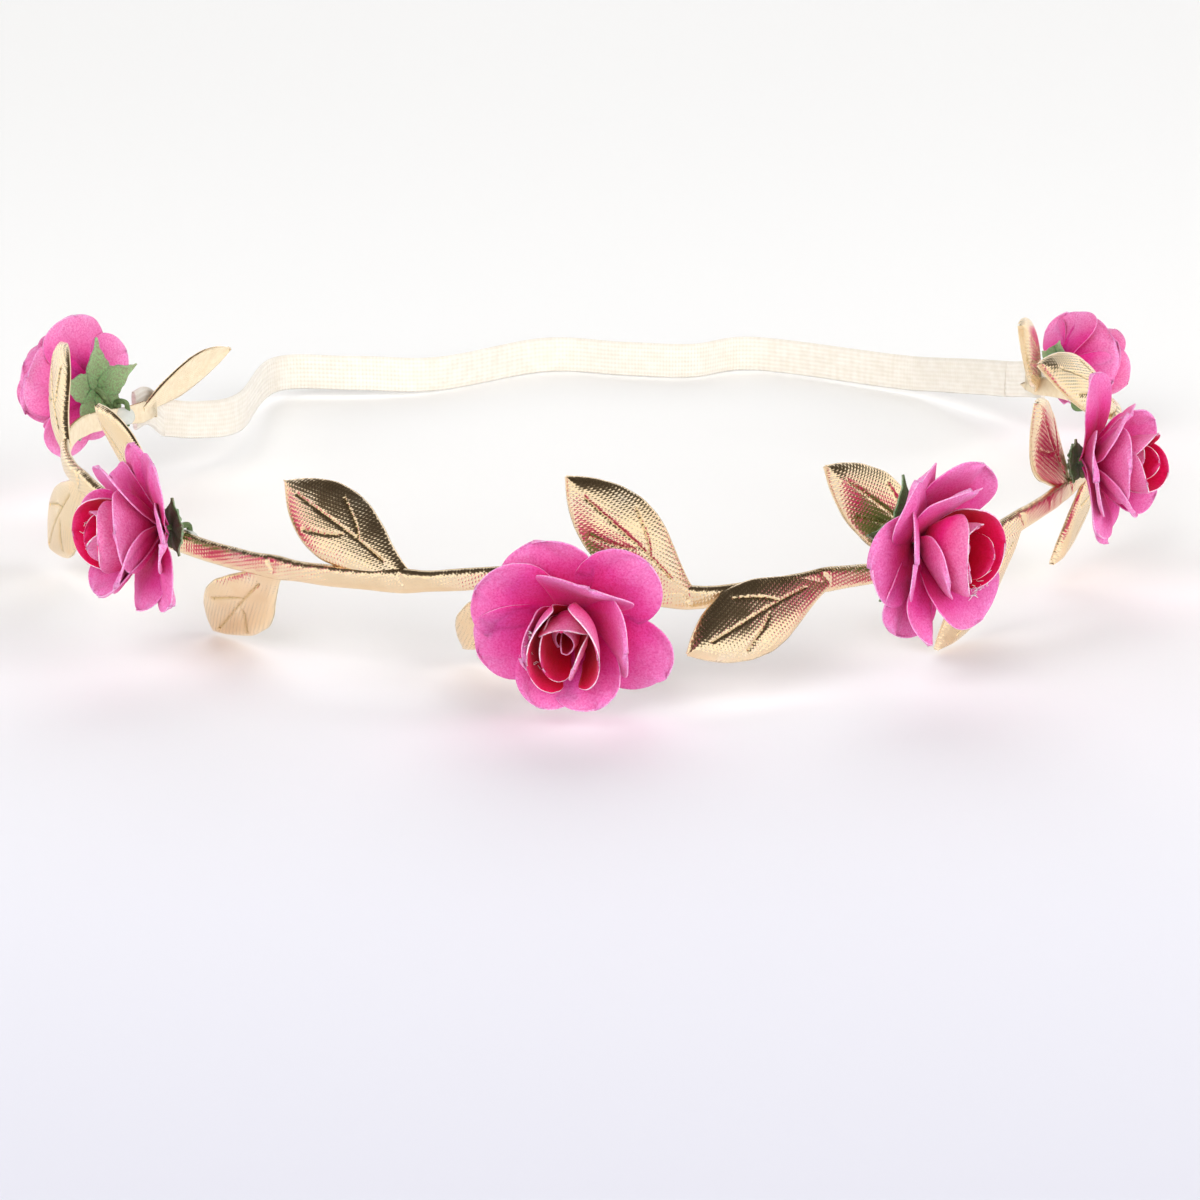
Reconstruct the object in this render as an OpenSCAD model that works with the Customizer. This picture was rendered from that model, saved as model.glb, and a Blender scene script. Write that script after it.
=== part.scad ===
// Flower crown: a gilded leaf-vine headband with six wired paper roses,
// closed at the back of the head by a narrow elastic band.
// Frame: +Z is up and the front rose faces -Y. The crown stands on z = 0,
// and the origin is the middle of its footprint.

/* [Vine] */
// Height of the stem, a ribbon that stands on edge
stem_h = 2.9; // [2.2:0.1:3.6]
// Thickness of the padded gold face
face_t = 0.9; // [0.6:0.05:1.1]
// Thickness of the cloth backing
backing_t = 0.3; // [0.2:0.05:0.4]
// Length of a leaf from the stem to its tip
leaf_len = 22; // [18:0.5:23]
// Greatest width of a leaf
leaf_w = 9.6; // [7:0.1:10]
// Gap left between two lengths of vine where the crown flexes
flex_gap = 0.6; // [0.4:0.1:1]

/* [Roses] */
// Diameter across the outer petals
rose_d = 23; // [20:0.5:24]
// Depth from the back of the calyx to the tip of the bud
rose_depth = 14; // [12:0.5:15]
// Thickness of the petal paper
paper_t = 0.35; // [0.25:0.05:0.45]
// Diameter of the wire stem
wire_d = 1; // [0.8:0.1:1.1]
// Number of petals in a layer
petal_count = 5; // [4:1:6]

/* [Elastic] */
// Height of the elastic band, which stands on edge
band_h = 6; // [5:0.5:7]
// Thickness of the elastic band
band_t = 0.8; // [0.6:0.1:1]
// Thickness of the glue under each end of the band
glue_t = 0.3; // [0.2:0.05:0.4]

/* [Hidden] */
PARTS = ["wire", "calyx", "outer_petals", "middle_petals", "inner_petals", "bud", "glue"];
ROSE_NAMES = [
    "rose_left_back", "rose_left", "rose_front",
    "rose_right", "rose_right_side", "rose_right_back"
];

// Colours
gold = "gold";
cloth = "wheat";
elastic = "bisque";
green = "olivedrab";
wire_green = "darkgreen";
glue_white = "whitesmoke";
petal_pink = "hotpink";
petal_deep = "deeppink";
bud_red = "crimson";

// Moves the crown from the head's axis to the middle of its own footprint
crown_shift = [1.73, 8.74, -0.03];

// Where each leaf leaves the stem, in steps of one leaf, from the right end
// round the front to the left end
STEM = [
    [68, 34.5, 10.5], [69, 32, 10.5], [75, 15, 13], [76, -3, 15], [70.5, -21.5, 15],
    [63.5, -38, 14.5], [55, -53, 14.5], [42.5, -66, 13], [27.5, -75, 13.5],
    [10, -80.5, 13], [-8, -81.5, 16], [-25.5, -78.5, 14.5], [-42.5, -71.5, 14],
    [-57.5, -61.5, 15], [-71, -45.5, 17.5], [-76, -29.5, 17.5], [-76.5, -12, 16],
    [-70.5, 4.5, 13.5], [-69, 7.5, 13.5]
];

// Leaves: place along the stem, angle from the stem (upward is positive), lean
// towards the head, twist about the leaf's own length, and share of the full width
LEAVES = [
    [1, 46, 40, -50, 1], [3, 46, 47, -25, 1], [4, -32, -10, 0, 1], [5, 47, 0, 0, 1],
    [6, -38, -8, 0, 1], [7, 46, 15, 0, 1], [8, -18, 33, 0, 1], [9, 43, 8, 0, 1],
    [10, -60, -40, 0, 1], [11, 35, 30, 0, 1], [12, -45.5, -28, 0, 1], [13, 36, 10, -30, 1],
    [14, -45, -2, 0, 1], [15, 32, -3, 20, 1], [17, 24, 25, 0, 0.75]
];

// Places along the stem where the crown flexes
right_flex = 7.78;
left_flex = 11.65;
last_stem = len(STEM) - 1;
leaf_pitch = 18.4;
gap_steps = flex_gap / leaf_pitch / 2;
stem_steps = 4;
leaf_steps = 8;

// Roses: back of the calyx, the way the bud faces, place along the stem where the
// wire is hooked on, and which edge of the stem it passes over (1 top, -1 bottom)
ROSES = [
    [[-76, -2.5, 18.8], [-0.8, 0.6, -0.02], 16.6, 1],
    [[-56, -68.3, 18.3], [-0.88, -0.47, 0.03], 12.85, 1],
    [[-4.3, -85.5, 13.5], [-0.1, -0.95, -0.28], 9.75, 1],
    [[37.8, -74, 18.4], [0.8, -0.6, 0.02], 7.45, -1],
    [[65, -37.2, 18], [0.86, -0.48, 0.12], 4.85, 1],
    [[72.5, 33.5, 13.6], [0.82, 0.55, -0.12], 1.8, -1]
];

// Centre line of the elastic from the left end of the vine round the back
BAND = [
    [-69, 14, 10], [-64, 20, 8], [-59, 30, 6.5], [-56.5, 61, 4.5], [-43, 64, 4],
    [-29, 67, 3.1], [-11, 80, 3.1], [3, 77.5, 3.1], [15, 76, 3.1], [26.5, 81, 3.1],
    [50, 67, 3.5], [57, 59, 5], [62.5, 50, 7], [66, 43, 8.5]
];
tab_gap = 0.3;
band_steps = 3;

// Heights of each rose layer's rim and base above the back of the calyx
wire_r = wire_d / 2;
rose_r = rose_d / 2;
OUTER = [[wire_r, 0.7], [0.42, 1.0], [0.75, 2.2], [1, 4.4]];
MIDDLE = [[wire_r, 1.5], [0.36, 2.3], [0.6, 4.6], [0.78, 8.4]];
INNER = [[wire_r, 2.3], [0.3, 3.3], [0.44, 6], [0.5, 11]];
bud_base = 3.2;
bud_r = 0.33 * rose_r;
sepal_reach = 0.78 * rose_r;
sepal_notch = 0.3 * rose_r;
rim_notch_r = 0.17 * rose_r;
calyx_bend_r = 24;
wire_clear = 0.25;

// Directions and points along the stem
function cross_up(t) = cross(t, [0, 0, 1]);
function unit(v) = v / norm(v);
function spline(a, b, c, d, t) =
    0.5 * (2 * b + (c - a) * t + (2 * a - 5 * b + 4 * c - d) * t * t
        + (3 * b - a - 3 * c + d) * t * t * t);
function point_at(route, k) =
    k < 0 ? 2 * route[0] - route[1]
    : k >= len(route) ? 2 * route[len(route) - 1] - route[len(route) - 2]
    : route[k];
function along(route, u) =
    let (i = max(0, min(len(route) - 2, floor(u))))
    spline(point_at(route, i - 1), route[i], route[i + 1], point_at(route, i + 2), u - i);
function heading(route, u) =
    unit(along(route, min(u + 0.02, len(route) - 1)) - along(route, max(u - 0.02, 0)));
function inward(route, u) = unit(cross_up(heading(route, u)));
function upward(route, u) = cross(inward(route, u), heading(route, u));

// One cross-section of the stem: four corners, from the middle surface to `depth`
// towards the head (backing) or away from it (face)
function stem_section(u, depth, crown_h) =
    let (
        p = along(STEM, u),
        up = upward(STEM, u) * stem_h / 2,
        out = inward(STEM, u) * depth
    )
    [p - up, p + up, p + up * crown_h + out, p - up * crown_h + out];

// Directions of a leaf: its length, its width and its own inward normal
function leaf_axes(leaf) =
    let (
        t = heading(STEM, leaf[0]),
        n = inward(STEM, leaf[0]),
        w = upward(STEM, leaf[0]),
        lean_w = cos(leaf[2]) * w + sin(leaf[2]) * n,
        d = cos(leaf[1]) * t + sin(leaf[1]) * lean_w,
        s = cos(leaf[1]) * lean_w - sin(leaf[1]) * t,
        across = cos(leaf[3]) * s + sin(leaf[3]) * cross(d, s)
    )
    [d, across, cross(d, across)];
function leaf_half(s) = leaf_w / 2 * max(0.3 * (1 - s), pow(max(sin(180 * s), 0.0001), 0.9));
function leaf_section(leaf, s, depth, crown_h) =
    let (
        axes = leaf_axes(leaf),
        half = max(leaf_half(s) * leaf[4], 0.25),
        p = along(STEM, leaf[0]) + axes[0] * leaf_len * s,
        side = axes[1] * half,
        out = axes[2] * depth * (s > 0.95 ? 0.5 : 1)
    )
    [p - side, p + side, p + side * crown_h + out, p - side * crown_h + out];

// A closed solid between two four-cornered sections
module link(a, b) {
    hull() polyhedron(
        points = concat(a, b),
        faces = [[0, 1, 2, 3], [7, 6, 5, 4], [0, 4, 5, 1], [1, 5, 6, 2], [2, 6, 7, 3], [3, 7, 4, 0]]
    );
}

// A length of vine with its leaves, as one layer of the material
module vine_layer(from, to, depth, crown_h, leaf_depth) {
    count = ceil((to - from) * stem_steps);
    step = (to - from) / count;
    for (k = [0 : count - 1])
        link(
            stem_section(from + step * k, depth, crown_h),
            stem_section(from + step * (k + 1), depth, crown_h)
        );
    for (leaf = LEAVES)
        if (leaf[0] > from && leaf[0] < to)
            for (k = [0 : leaf_steps - 1])
                link(
                    leaf_section(leaf, k / leaf_steps, leaf_depth, crown_h),
                    leaf_section(leaf, (k + 1) / leaf_steps, leaf_depth, crown_h)
                );
}
module vine_face(from, to) {
    color(gold) translate(crown_shift) vine_layer(from, to, -face_t, 0.6, -face_t * 0.9);
}
module vine_backing(from, to) {
    color(cloth) translate(crown_shift) vine_layer(from, to, backing_t, 0.95, backing_t * 0.9);
}

// Sweeps a closed section along a list of rings, each a list of points
module swept(rings) {
    m = len(rings[0]);
    n = len(rings);
    points = [for (ring = rings) for (p = ring) p];
    sides = [
        for (i = [0 : n - 2]) for (j = [0 : m - 1])
            let (a = i * m + j, b = i * m + (j + 1) % m)
            each [[a, b, b + m], [a, b + m, a + m]]
    ];
    first = [for (j = [1 : m - 2]) [0, j + 1, j]];
    last = [for (j = [1 : m - 2]) [(n - 1) * m, (n - 1) * m + j, (n - 1) * m + j + 1]];
    polyhedron(points = points, faces = concat(sides, first, last));
}
function path_heading(path, i) =
    unit(path[min(i + 1, len(path) - 1)] - path[max(i - 1, 0)]);

// Elastic: a rectangle on edge, swept along a route
function band_ring(p, t) =
    let (n = unit(cross_up(t)) * band_t / 2, up = [0, 0, band_h / 2])
    [p - n - up, p + n - up, p + n + up, p - n + up];
module band(path) {
    color(elastic) translate(crown_shift)
        swept([for (i = [0 : len(path) - 1]) band_ring(path[i], path_heading(path, i))]);
}
module elastic_band() {
    last = len(BAND) - 1;
    band([for (k = [0 : last * band_steps]) along(BAND, k / band_steps)]);
}

// Glued end of the elastic: it lies on the gold face at the end of the vine and
// stops short of the free band
function tab_path(stem_end, leaf_end, band_end) =
    let (
        out = -inward(STEM, stem_end) * (face_t + band_t / 2 + glue_t),
        start = along(STEM, leaf_end) + out,
        finish = along(STEM, stem_end) + out
    )
    [start, finish, band_end - unit(band_end - finish) * tab_gap];
left_tab = tab_path(last_stem, last_stem - 1, BAND[0]);
right_tab = tab_path(0, 1, BAND[len(BAND) - 1]);
module elastic_left_tab() { band(left_tab); }
module elastic_right_tab() { band(right_tab); }

// Glue film between a tab and the vine
module tab_glue(path, stem_end) {
    length = norm(path[1] - path[0]);
    x = unit(path[1] - path[0]);
    y = unit(cross_up(x));
    under = inward(STEM, stem_end) * (band_t + glue_t) / 2;
    color(glue_white) translate(crown_shift + (path[0] + path[1]) / 2 + under)
        multmatrix([[x[0], y[0], 0, 0], [x[1], y[1], 0, 0], [x[2], y[2], 1, 0]])
        cube([0.8 * length, glue_t, 0.6 * stem_h], center = true);
}

// Rose frame: the origin is the back of the calyx and +Z is the way the bud faces
function rose_x(rose) = unit(cross([0, 0, 1], rose[1]));
module on_rose(rose) {
    z = unit(rose[1]);
    x = rose_x(rose);
    y = cross(z, x);
    translate(crown_shift + rose[0])
        multmatrix([[x[0], y[0], z[0], 0], [x[1], y[1], z[1], 0], [x[2], y[2], z[2], 0]])
        children();
}

// A wall of paper turned about the rose's axis. The profile's radii are shares of
// the rose's radius, apart from the first, which is the wire's
module paper_cup(profile) {
    outside = [for (i = [0 : len(profile) - 1]) [profile[i][0] * (i == 0 ? 1 : rose_r), profile[i][1]]];
    inside = [for (i = [len(outside) - 1 : -1 : 0]) [outside[i][0] - (i == 0 ? 0 : paper_t), outside[i][1] + paper_t]];
    rotate_extrude($fn = 64) polygon(concat(outside, inside));
}

// Keeps the part of a cup that lies in its petals: one round lobe for each petal
module petal_lobes(hub_r, lobe_r, lobe_at, tilt) {
    cylinder(r = hub_r, h = rose_depth, $fn = 48);
    for (k = [0 : petal_count - 1])
        rotate([0, 0, k * 360 / petal_count])
            translate(lobe_at)
            rotate([0, -tilt, 0])
            cylinder(r = lobe_r, h = rose_r, center = true, $fn = 48);
}
module petal_layer(shade, profile, hub_r, lobe_r, lobe_at, tilt, turn) {
    color(shade) rotate([0, 0, turn]) intersection() {
        paper_cup(profile);
        petal_lobes(hub_r, lobe_r, lobe_at, tilt);
    }
}
module outer_petals() {
    petal_layer(petal_pink, OUTER, 0.5 * rose_r, 0.44 * rose_r, [0.6 * rose_r, 0, 2.5], 25, 0);
}
module middle_petals() {
    petal_layer(petal_pink, MIDDLE, 0.3 * rose_r, 0.38 * rose_r, [0.56 * rose_r, 0, 4.8], 50, 36);
}
// The inner petals stand up as one cup, notched at its rim between the petals
module inner_petals() {
    rim = INNER[len(INNER) - 1][1] + paper_t;
    color(petal_deep) difference() {
        paper_cup(INNER);
        for (k = [0 : petal_count - 1])
            rotate([0, 0, (k + 0.5) * 360 / petal_count])
                translate([0.25 * rose_r, 0, rim])
                rotate([0, 90, 0])
                cylinder(r = rim_notch_r, h = rose_r, $fn = 48);
    }
}

// The bud is rolled tight: a turned solid that narrows to its tip
module bud() {
    color(bud_red) rotate_extrude($fn = 64) polygon([
        [0, bud_base], [0.6 * bud_r, bud_base + 0.4], [bud_r, bud_base + 3.3],
        [bud_r, bud_base + 6], [0.6 * bud_r, rose_depth - 1], [0, rose_depth]
    ]);
}

// The calyx is a bent star of green paper, threaded on the wire
module calyx() {
    tips = 2 * petal_count;
    star = [
        for (k = [0 : tips - 1])
            (k % 2 == 0 ? sepal_reach : sepal_notch) * [cos(k * 360 / tips), sin(k * 360 / tips)]
    ];
    color(green) intersection() {
        difference() {
            translate([0, 0, calyx_bend_r]) sphere(r = calyx_bend_r, $fn = 96);
            translate([0, 0, calyx_bend_r + paper_t]) sphere(r = calyx_bend_r, $fn = 96);
            cylinder(r = wire_r, h = 4, center = true, $fn = 32);
        }
        linear_extrude(height = 4) polygon(star);
    }
}

// The wire runs from the bud through the layers and hooks over the stem
function wire_ring(p, t) =
    let (x = unit(cross(t, [0.3, 0.2, 1])), y = cross(t, x))
    [for (k = [0 : 7]) p + (x * cos(k * 45) + y * sin(k * 45)) * wire_r];
function wire_path(rose) =
    let (
        z = unit(rose[1]),
        u = rose[2],
        stem = along(STEM, u),
        edge = upward(STEM, u) * rose[3],
        back = inward(STEM, u),
        over = stem_h / 2 + wire_r + wire_clear,
        front = face_t + wire_r + wire_clear,
        behind = backing_t + wire_r + wire_clear
    )
    [
        rose[0] + z * bud_base, rose[0] - z * 0.3,
        stem + edge * over * 0.5 - back * front,
        stem + edge * over - back * front * 0.5,
        stem + edge * over + back * behind * 0.6,
        stem + edge * over * 0.55 + back * behind,
        stem - edge * over * 0.6 + back * behind
    ];
module rose_wire(rose) {
    path = wire_path(rose);
    color(wire_green) translate(crown_shift)
        swept([for (i = [0 : len(path) - 1]) wire_ring(path[i], path_heading(path, i))]);
}

// A dab of glue on the back of the vine that holds the hooked end of the wire
module rose_glue(rose) {
    u = rose[2];
    n = inward(STEM, u);
    t = heading(STEM, u);
    w = upward(STEM, u);
    color(glue_white) translate(crown_shift + along(STEM, u) + n * backing_t)
        multmatrix([[w[0], t[0], n[0], 0], [w[1], t[1], n[1], 0], [w[2], t[2], n[2], 0]])
        rotate_extrude($fn = 48) polygon([[0, 0], [1.4, 0], [1.3, 0.6], [0.9, 1.1], [0, 1.3]]);
}

vine_face(left_flex + gap_steps, last_stem);  // vine_left_face
vine_backing(left_flex + gap_steps, last_stem);  // vine_left_backing
vine_face(right_flex + gap_steps, left_flex - gap_steps);  // vine_front_face
vine_backing(right_flex + gap_steps, left_flex - gap_steps);  // vine_front_backing
vine_face(0, right_flex - gap_steps);  // vine_right_face
vine_backing(0, right_flex - gap_steps);  // vine_right_backing
for (i = [0 : len(ROSES) - 1]) {
    name = ROSE_NAMES[i];
    rose = ROSES[i];
    rose_wire(rose);
    on_rose(rose) calyx();
    on_rose(rose) outer_petals();
    on_rose(rose) middle_petals();
    on_rose(rose) inner_petals();
    on_rose(rose) bud();
    rose_glue(rose);
}
elastic_left_tab();
tab_glue(left_tab, last_stem);  // elastic_left_glue
elastic_band();
tab_glue(right_tab, 0);  // elastic_right_glue
elastic_right_tab();
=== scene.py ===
"""Flower crown: a gilded leaf vine with six wired paper roses and an elastic band at the back.

Route points are in millimetres about the head's axis, as in the CAD. place() turns them into metres in
the row frame.
"""

import math

import bpy
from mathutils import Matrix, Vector, noise


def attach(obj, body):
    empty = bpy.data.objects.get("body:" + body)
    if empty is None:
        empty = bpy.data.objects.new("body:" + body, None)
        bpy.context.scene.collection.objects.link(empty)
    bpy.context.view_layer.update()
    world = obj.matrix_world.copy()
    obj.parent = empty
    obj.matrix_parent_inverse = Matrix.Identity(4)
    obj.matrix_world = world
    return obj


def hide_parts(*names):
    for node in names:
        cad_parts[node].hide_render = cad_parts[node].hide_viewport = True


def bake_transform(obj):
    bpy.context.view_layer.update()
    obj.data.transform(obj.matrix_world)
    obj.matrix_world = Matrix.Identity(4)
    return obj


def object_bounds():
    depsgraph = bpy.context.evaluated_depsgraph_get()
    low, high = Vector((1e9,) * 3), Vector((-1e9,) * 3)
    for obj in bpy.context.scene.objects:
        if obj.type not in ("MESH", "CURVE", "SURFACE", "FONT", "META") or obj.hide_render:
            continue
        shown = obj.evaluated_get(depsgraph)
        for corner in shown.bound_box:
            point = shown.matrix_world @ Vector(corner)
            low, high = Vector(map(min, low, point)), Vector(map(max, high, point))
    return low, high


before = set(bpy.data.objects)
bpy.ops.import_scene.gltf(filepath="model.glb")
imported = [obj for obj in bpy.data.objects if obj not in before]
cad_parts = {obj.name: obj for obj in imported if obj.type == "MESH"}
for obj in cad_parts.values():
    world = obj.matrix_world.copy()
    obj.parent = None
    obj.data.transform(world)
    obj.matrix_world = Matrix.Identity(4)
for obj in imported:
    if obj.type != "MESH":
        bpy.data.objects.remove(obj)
cad_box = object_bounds()

MM = 0.001
UP = Vector((0, 0, 1))
CROWN_SHIFT = Vector((1.73, 8.74, -0.03))

# Vine. A station is a place on the stem, counted in points of its route
LEAF_PITCH = 18.4
STEM_H = 2.9
FACE_T = 0.9
BACKING_T = 0.3
LEAF_LEN = 22
LEAF_W = 9.6
STEM = [
    (68, 34.5, 10.5), (69, 32, 10.5), (75, 15, 13), (76, -3, 15), (70.5, -21.5, 15),
    (63.5, -38, 14.5), (55, -53, 14.5), (42.5, -66, 13), (27.5, -75, 13.5),
    (10, -80.5, 13), (-8, -81.5, 16), (-25.5, -78.5, 14.5), (-42.5, -71.5, 14),
    (-57.5, -61.5, 15), (-71, -45.5, 17.5), (-76, -29.5, 17.5), (-76.5, -12, 16),
    (-70.5, 4.5, 13.5), (-69, 7.5, 13.5),
]
# station on the stem, rise, lean towards the head, twist (degrees), share of the full width, bow in mm
LEAVES = [
    (1, 46, 40, -50, 1, 0.8), (3, 46, 47, -25, 1, 1.8), (4, -32, -10, 0, 1, 0.8), (5, 47, 0, 0, 1, -0.8),
    (6, -38, -8, 0, 1, 0.8), (7, 46, 15, 0, 1, 1.0), (8, -18, 33, 0, 1, 0.6), (9, 43, 8, 0, 1, 1.2),
    (10, -60, -40, 0, 1, 0.6), (11, 35, 30, 0, 1, 1.0), (12, -45.5, -28, 0, 1, 1.2),
    (13, 36, 10, -30, 1, -0.6), (14, -45, -2, 0, 1, 0.8), (15, 32, -3, 20, 1, 0.8),
    (17, 24, 25, 0, 0.75, 0.8),
]
# Stations of the two hinges, half the length of stem that bends at each, and where the stem's two halves meet
RIGHT_FLEX = 7.78
LEFT_FLEX = 11.65
RIGHT_BEND = 0.4
LEFT_BEND = 0.45
HALVES_MEET = 9.8
LAST_STEM = len(STEM) - 1

# Roses
WIRE_R = 0.5
PAPER_T = 0.17
SEPAL_T = 0.25
PETAL_ROOT_R = 0.45
BUD_TURNS = 1.15
BUD_R = 2.5
BUD_BASE = 3.2
BUD_TIP = 9.0
FIBRE_R = 0.04
FIBRE_COUNT = 9
# Back of the calyx, facing, station of the wire's hook, and the edge of the stem that it passes over
ROSES = {
    "rose_left_back": ((-76, -2.5, 18.8), (-0.8, 0.6, -0.02), 16.6, 1),
    "rose_left": ((-56, -68.3, 18.3), (-0.88, -0.47, 0.03), 12.85, 1),
    "rose_front": ((-4.3, -85.5, 13.5), (-0.1, -0.95, -0.28), 9.75, 1),
    "rose_right": ((37.8, -74, 18.4), (0.8, -0.6, 0.02), 7.45, -1),
    "rose_right_side": ((65, -37.2, 18), (0.86, -0.48, 0.12), 4.85, 1),
    "rose_right_back": ((72.5, 33.5, 13.6), (0.82, 0.55, -0.12), 1.8, -1),
}
# Petals of each rose: azimuth, length, width, opening at the root and at the rim (degrees
# from the bud's axis), sideways wrap and fold along the middle (degrees)
OUTER = {
    "rose_left_back": [
        (20, 10.5, 11, 60, 75, 15, 0), (92, 11, 12.5, 60, 82, 15, 0), (160, 10.5, 10, 60, 90, 10, 0),
        (228, 10, 10, 60, 86, 15, 0), (292, 11, 9.5, 60, 86, 10, 0),
    ],
    "rose_left": [
        (104, 11.5, 8.5, 62, 80, -10, 0), (62, 12, 9.5, 60, 84, -6, 0), (8, 11.5, 9, 60, 76, 5, 0),
        (-42, 11.5, 8.5, 62, 92, -6, 0), (-84, 10.5, 11, 60, 78, -16, 0), (150, 10.5, 10, 60, 80, 10, 0),
    ],
    "rose_front": [
        (40, 12.5, 11.5, 70, 98, 10, 0), (112, 11.5, 12, 70, 98, 10, 0), (156, 12.5, 12.5, 66, 86, 10, 0),
        (202, 12.5, 11, 65, 90, 12, 0), (-32, 13.8, 11, 68, 90, -8, 0),
    ],
    "rose_right": [
        (62, 13, 14, 58, 54, 5, 0), (122, 12.5, 12, 60, 76, -12, 0), (182, 11.5, 12, 66, 104, 14, 0),
        (240, 12, 12.5, 66, 102, 10, 0), (-40, 12, 13, 50, 62, 15, 0),
    ],
    "rose_right_side": [
        (88, 12.5, 10, 60, 95, 5, 0), (0, 11, 11, 55, 80, 10, 0), (180, 12, 12, 55, 66, 15, 0),
        (228, 11.5, 10, 55, 84, 5, 0), (268, 11.5, 9.5, 60, 95, 0, 0),
    ],
    "rose_right_back": [
        (66, 8.6, 13, 62, 68, 12, 0), (138, 8.8, 12, 50, 46, 15, 0), (210, 8, 11, 50, 50, 20, 0),
        (285, 8, 11, 55, 60, 20, 0), (5, 8.5, 12, 60, 68, 12, 0),
    ],
}
MIDDLE = {
    "rose_left": [
        (92, 11.5, 11, 45, 48, 10, 0), (20, 10.5, 11, 45, 34, 20, 0), (185, 10.5, 11, 45, 30, 30, 0),
        (-85, 11, 12, 45, 36, 25, 0), (-35, 10.5, 10, 45, 42, 10, 0),
    ],
    "rose_front": [
        (70, 10.8, 12.5, 66, 42, -8, 0), (2, 10.8, 11.5, 60, 24, -5, 0), (190, 9.5, 10, 50, 15, 35, 0),
        (246, 11.5, 9, 50, 44, 20, 0), (293, 11.5, 9.5, 50, 46, 20, 0),
    ],
    "rose_right": [
        (176, 11, 11.5, 58, 60, -8, 0), (88, 10.5, 12, 52, 40, -15, 0), (205, 9.5, 9.5, 48, 26, 25, 0),
        (243, 13, 6.5, 60, 74, 0, -30), (285, 12, 14, 50, 52, 25, 0),
    ],
    "rose_right_side": [
        (115, 11, 10.5, 50, 44, 10, 0), (172, 10.5, 11, 45, 30, 30, 0), (235, 10, 10, 48, 40, 20, 0),
        (310, 10, 11, 45, 40, 20, 0), (40, 10, 10, 45, 42, 20, 0),
    ],
    "rose_right_back": [
        (60, 8.6, 10, 42, 32, 25, 0), (132, 8.8, 10, 42, 28, 25, 0), (204, 8, 10, 42, 28, 25, 0),
        (276, 8, 10, 42, 28, 25, 0), (348, 8, 10, 42, 30, 25, 0),
    ],
}
MIDDLE_DEFAULT = [
    (36, 10, 10.5, 40, 36, 25, 0), (108, 10.5, 11, 40, 38, 20, 0), (180, 10, 10.5, 40, 36, 25, 0),
    (252, 10.5, 11, 40, 38, 20, 0), (324, 10, 10.5, 40, 34, 25, 0),
]
# A cup of two petals that meet in a crease above and below, and one of three that wrap round each other
CREASED = [
    (6, 10.8, 13.5, 58, 0, 72, 0), (186, 10.6, 13.5, 58, 2, 72, 0), (96, 8.6, 9, 46, -2, 50, 0),
    (205, 8.6, 9, 46, -2, 60, 0), (-25, 9.6, 6, 42, -24, 8, 0),
]
ROUND = [
    (90, 10.8, 12, 56, 2, 60, 0), (205, 10.4, 12, 56, 6, 60, 0), (325, 10.6, 12, 56, 4, 58, 0),
    (150, 8.4, 8, 46, -4, 55, 0), (-15, 8.8, 7, 40, -18, 20, 0),
]
INNER = {"rose_front": CREASED, "rose_right": CREASED, "rose_left": CREASED}
# How far each cup is pressed flat: shares of its width across and up
PRESSED = {
    "rose_front": (0.82, 1.15), "rose_right": (0.85, 1.05), "rose_left": (0.95, 0.9),
    "rose_right_side": (0.8, 0.75),
}
# Where loose paper fibres stand off the rim of a cup: azimuth, distance from the axis and height
FIBRES = {
    "rose_front": (182, 5.4, 9.6), "rose_right": (-62, 5.2, 10.2), "rose_left": (200, 4.6, 10.2),
}
# Length of the sepals
SEPALS = {
    "rose_left_back": 7.8, "rose_left": 3.6, "rose_front": 8.2, "rose_right": 8.2, "rose_right_side": 2.8,
    "rose_right_back": 3.4,
}

# Elastic
BAND_H = 6
BAND_T = 0.8
GLUE_T = 0.3
BAND = [
    (-69, 14, 10), (-64, 20, 8), (-59, 30, 6.5), (-56.5, 61, 4.5), (-43, 64, 4), (-29, 67, 3.1),
    (-11, 80, 3.1), (3, 77.5, 3.1), (15, 76, 3.1), (26.5, 81, 3.1), (50, 67, 3.5), (57, 59, 5),
    (62.5, 50, 7), (66, 43, 8.5),
]
# Points of the route where the band's left and right runs meet its back run
BAND_LEFT_END = 3
BAND_RIGHT_END = 11
# Length of weave laid on each step of a strap's route: the scale of the knit, not the band's real length
WEAVE_STEP = 11
# Gap between the free band and each glued end
TAB_GAP = 0.3

# Camera and floor, in metres and degrees
CAMERA_AT = (0.00073, -0.42866, 0.13577)
CAMERA_TILT = 70.96
LENS_MM = 90.3
SENSOR_MM = 36
FLOOR_HALF = 4.0
FLOOR_GAP = 0.0003
SKY_STRENGTH = 1.3


# ---------------------------------------------------------------- routes
def spline(a, b, c, d, t):
    """A Catmull-Rom spline from b to c."""
    return 0.5 * (2 * b + (c - a) * t + (2 * a - 5 * b + 4 * c - d) * t**2 + (3 * b - a - 3 * c + d) * t**3)


def along(route, u):
    """The point at station u of a smooth curve through the route."""
    last = len(route) - 1
    i = max(0, min(last - 1, math.floor(u)))
    p = [Vector(q) for q in route]
    before = p[i - 1] if i > 0 else 2 * p[0] - p[1]
    after = p[i + 2] if i + 2 <= last else 2 * p[last] - p[last - 1]
    return spline(before, p[i], p[i + 1], after, u - i)


def heading(route, u):
    """The direction of the route at station u."""
    last = len(route) - 1
    return (along(route, min(u + 0.02, last)) - along(route, max(u - 0.02, 0))).normalized()


def inward(route, u):
    """Sideways from the route, towards the head."""
    return heading(route, u).cross(UP).normalized()


def upward(route, u):
    """Up across the route."""
    return inward(route, u).cross(heading(route, u))


def place(p):
    """A route point in mm, as metres in the row frame."""
    return (Vector(p) + CROWN_SHIFT) * MM


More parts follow.
